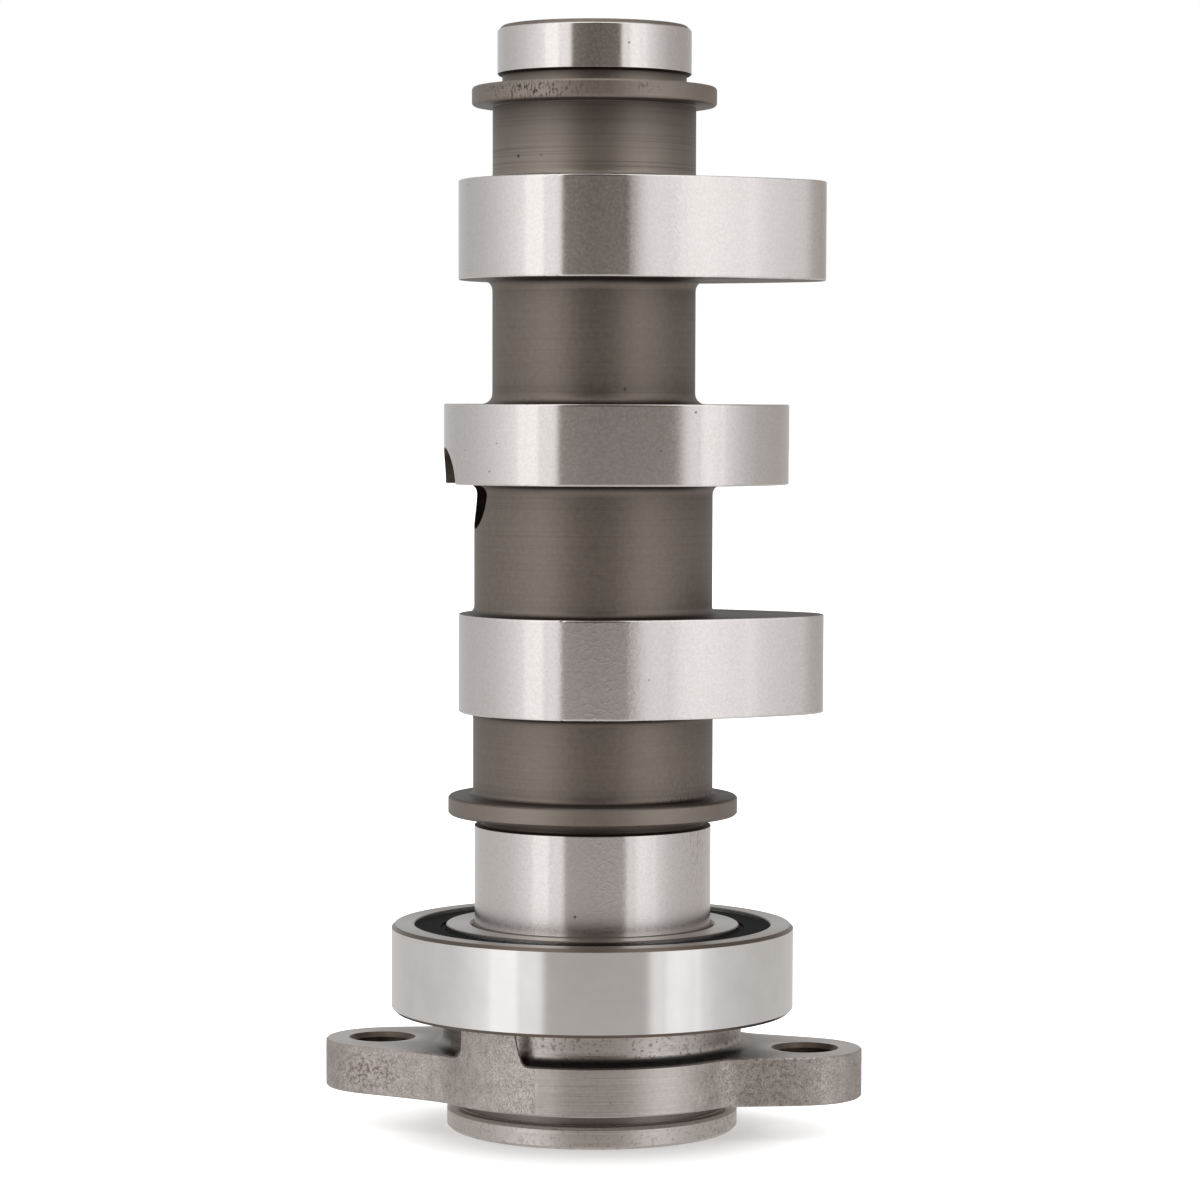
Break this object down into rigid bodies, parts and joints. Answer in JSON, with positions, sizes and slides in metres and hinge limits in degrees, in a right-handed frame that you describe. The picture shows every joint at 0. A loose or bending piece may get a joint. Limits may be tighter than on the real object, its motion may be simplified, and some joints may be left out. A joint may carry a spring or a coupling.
{
  "type": "camshaft",
  "caption": "Camshaft with cam lobes, a cross pin hole, a ground end journal, a sealed ball bearing and an eared flange for the drive sprocket; it opens an engine's valves as it turns.",
  "frame": {"origin": "on the shaft's axis at the end face of the sprocket spigot, which the part stands on", "axes": "+Z along the shaft from the sprocket end to the free end journal, +X towards the noses of the lobes, -Y towards the picture's viewer"},
  "size_m": [0.0564, 0.042, 0.1141],
  "materials": {
    "shaft_steel": "case-hardened steel, turned brown-grey shaft with ground bright lobes and journals",
    "forged_steel": "forged steel with rough flanks and turned faces",
    "bearing_steel": "hardened bearing steel, finely ground",
    "seal_rubber": "matt black moulded nitrile rubber",
    "cage_steel": "pressed sheet steel"
  },
  "bodies": {
    "camshaft": {"camshaft": "shaft_steel", "sprocket_flange": "forged_steel", "bearing_inner_ring": "bearing_steel"},
    "bearing_outer": {"bearing_outer_ring": "bearing_steel", "bearing_seal_lower": "seal_rubber", "bearing_seal_upper": "seal_rubber"},
    "bearing_cage": {"bearing_cage_lower": "cage_steel", "bearing_cage_upper": "cage_steel", "bearing_cage_rivets": "cage_steel"},
    "bearing_ball_01": {"bearing_ball_01": "bearing_steel"},
    "bearing_ball_02": {"bearing_ball_02": "bearing_steel"},
    "bearing_ball_03": {"bearing_ball_03": "bearing_steel"},
    "bearing_ball_04": {"bearing_ball_04": "bearing_steel"},
    "bearing_ball_05": {"bearing_ball_05": "bearing_steel"},
    "bearing_ball_06": {"bearing_ball_06": "bearing_steel"},
    "bearing_ball_07": {"bearing_ball_07": "bearing_steel"},
    "bearing_ball_08": {"bearing_ball_08": "bearing_steel"},
    "bearing_ball_09": {"bearing_ball_09": "bearing_steel"},
    "bearing_ball_10": {"bearing_ball_10": "bearing_steel"},
    "bearing_ball_11": {"bearing_ball_11": "bearing_steel"},
    "bearing_ball_12": {"bearing_ball_12": "bearing_steel"},
    "bearing_ball_13": {"bearing_ball_13": "bearing_steel"}
  },
  "joints": [
    {"name": "outer_ring_spin", "type": "hinge", "parent": "camshaft", "child": "bearing_outer", "pos_m": [0, 0, 0.0168], "axis": [0, 0, 1], "continuous": true},
    {"name": "cage_orbit", "type": "hinge", "parent": "camshaft", "child": "bearing_cage", "pos_m": [0, 0, 0.0168], "axis": [0, 0, 1], "continuous": true},
    {"name": "bearing_ball_01_spin", "type": "hinge", "parent": "bearing_cage", "child": "bearing_ball_01", "pos_m": [0.01675, 0, 0.0168], "axis": [0, 0, 1], "continuous": true},
    {"name": "bearing_ball_02_spin", "type": "hinge", "parent": "bearing_cage", "child": "bearing_ball_02", "pos_m": [0.01483, 0.00778, 0.0168], "axis": [0, 0, 1], "continuous": true},
    {"name": "bearing_ball_03_spin", "type": "hinge", "parent": "bearing_cage", "child": "bearing_ball_03", "pos_m": [0.00952, 0.01379, 0.0168], "axis": [0, 0, 1], "continuous": true},
    {"name": "bearing_ball_04_spin", "type": "hinge", "parent": "bearing_cage", "child": "bearing_ball_04", "pos_m": [0.00202, 0.01663, 0.0168], "axis": [0, 0, 1], "continuous": true},
    {"name": "bearing_ball_05_spin", "type": "hinge", "parent": "bearing_cage", "child": "bearing_ball_05", "pos_m": [-0.00594, 0.01566, 0.0168], "axis": [0, 0, 1], "continuous": true},
    {"name": "bearing_ball_06_spin", "type": "hinge", "parent": "bearing_cage", "child": "bearing_ball_06", "pos_m": [-0.01254, 0.01111, 0.0168], "axis": [0, 0, 1], "continuous": true},
    {"name": "bearing_ball_07_spin", "type": "hinge", "parent": "bearing_cage", "child": "bearing_ball_07", "pos_m": [-0.01626, 0.00401, 0.0168], "axis": [0, 0, 1], "continuous": true},
    {"name": "bearing_ball_08_spin", "type": "hinge", "parent": "bearing_cage", "child": "bearing_ball_08", "pos_m": [-0.01626, -0.00401, 0.0168], "axis": [0, 0, 1], "continuous": true},
    {"name": "bearing_ball_09_spin", "type": "hinge", "parent": "bearing_cage", "child": "bearing_ball_09", "pos_m": [-0.01254, -0.01111, 0.0168], "axis": [0, 0, 1], "continuous": true},
    {"name": "bearing_ball_10_spin", "type": "hinge", "parent": "bearing_cage", "child": "bearing_ball_10", "pos_m": [-0.00594, -0.01566, 0.0168], "axis": [0, 0, 1], "continuous": true},
    {"name": "bearing_ball_11_spin", "type": "hinge", "parent": "bearing_cage", "child": "bearing_ball_11", "pos_m": [0.00202, -0.01663, 0.0168], "axis": [0, 0, 1], "continuous": true},
    {"name": "bearing_ball_12_spin", "type": "hinge", "parent": "bearing_cage", "child": "bearing_ball_12", "pos_m": [0.00952, -0.01379, 0.0168], "axis": [0, 0, 1], "continuous": true},
    {"name": "bearing_ball_13_spin", "type": "hinge", "parent": "bearing_cage", "child": "bearing_ball_13", "pos_m": [0.01483, -0.00778, 0.0168], "axis": [0, 0, 1], "continuous": true}
  ],
  "couplings": [
    {"joint": "cage_orbit", "follows": "outer_ring_spin", "ratio": 0.57107},
    {"joint": "bearing_ball_01_spin", "follows": "outer_ring_spin", "ratio": 3.4464},
    {"joint": "bearing_ball_02_spin", "follows": "outer_ring_spin", "ratio": 3.4464},
    {"joint": "bearing_ball_03_spin", "follows": "outer_ring_spin", "ratio": 3.4464},
    {"joint": "bearing_ball_04_spin", "follows": "outer_ring_spin", "ratio": 3.4464},
    {"joint": "bearing_ball_05_spin", "follows": "outer_ring_spin", "ratio": 3.4464},
    {"joint": "bearing_ball_06_spin", "follows": "outer_ring_spin", "ratio": 3.4464},
    {"joint": "bearing_ball_07_spin", "follows": "outer_ring_spin", "ratio": 3.4464},
    {"joint": "bearing_ball_08_spin", "follows": "outer_ring_spin", "ratio": 3.4464},
    {"joint": "bearing_ball_09_spin", "follows": "outer_ring_spin", "ratio": 3.4464},
    {"joint": "bearing_ball_10_spin", "follows": "outer_ring_spin", "ratio": 3.4464},
    {"joint": "bearing_ball_11_spin", "follows": "outer_ring_spin", "ratio": 3.4464},
    {"joint": "bearing_ball_12_spin", "follows": "outer_ring_spin", "ratio": 3.4464},
    {"joint": "bearing_ball_13_spin", "follows": "outer_ring_spin", "ratio": 3.4464}
  ]
}
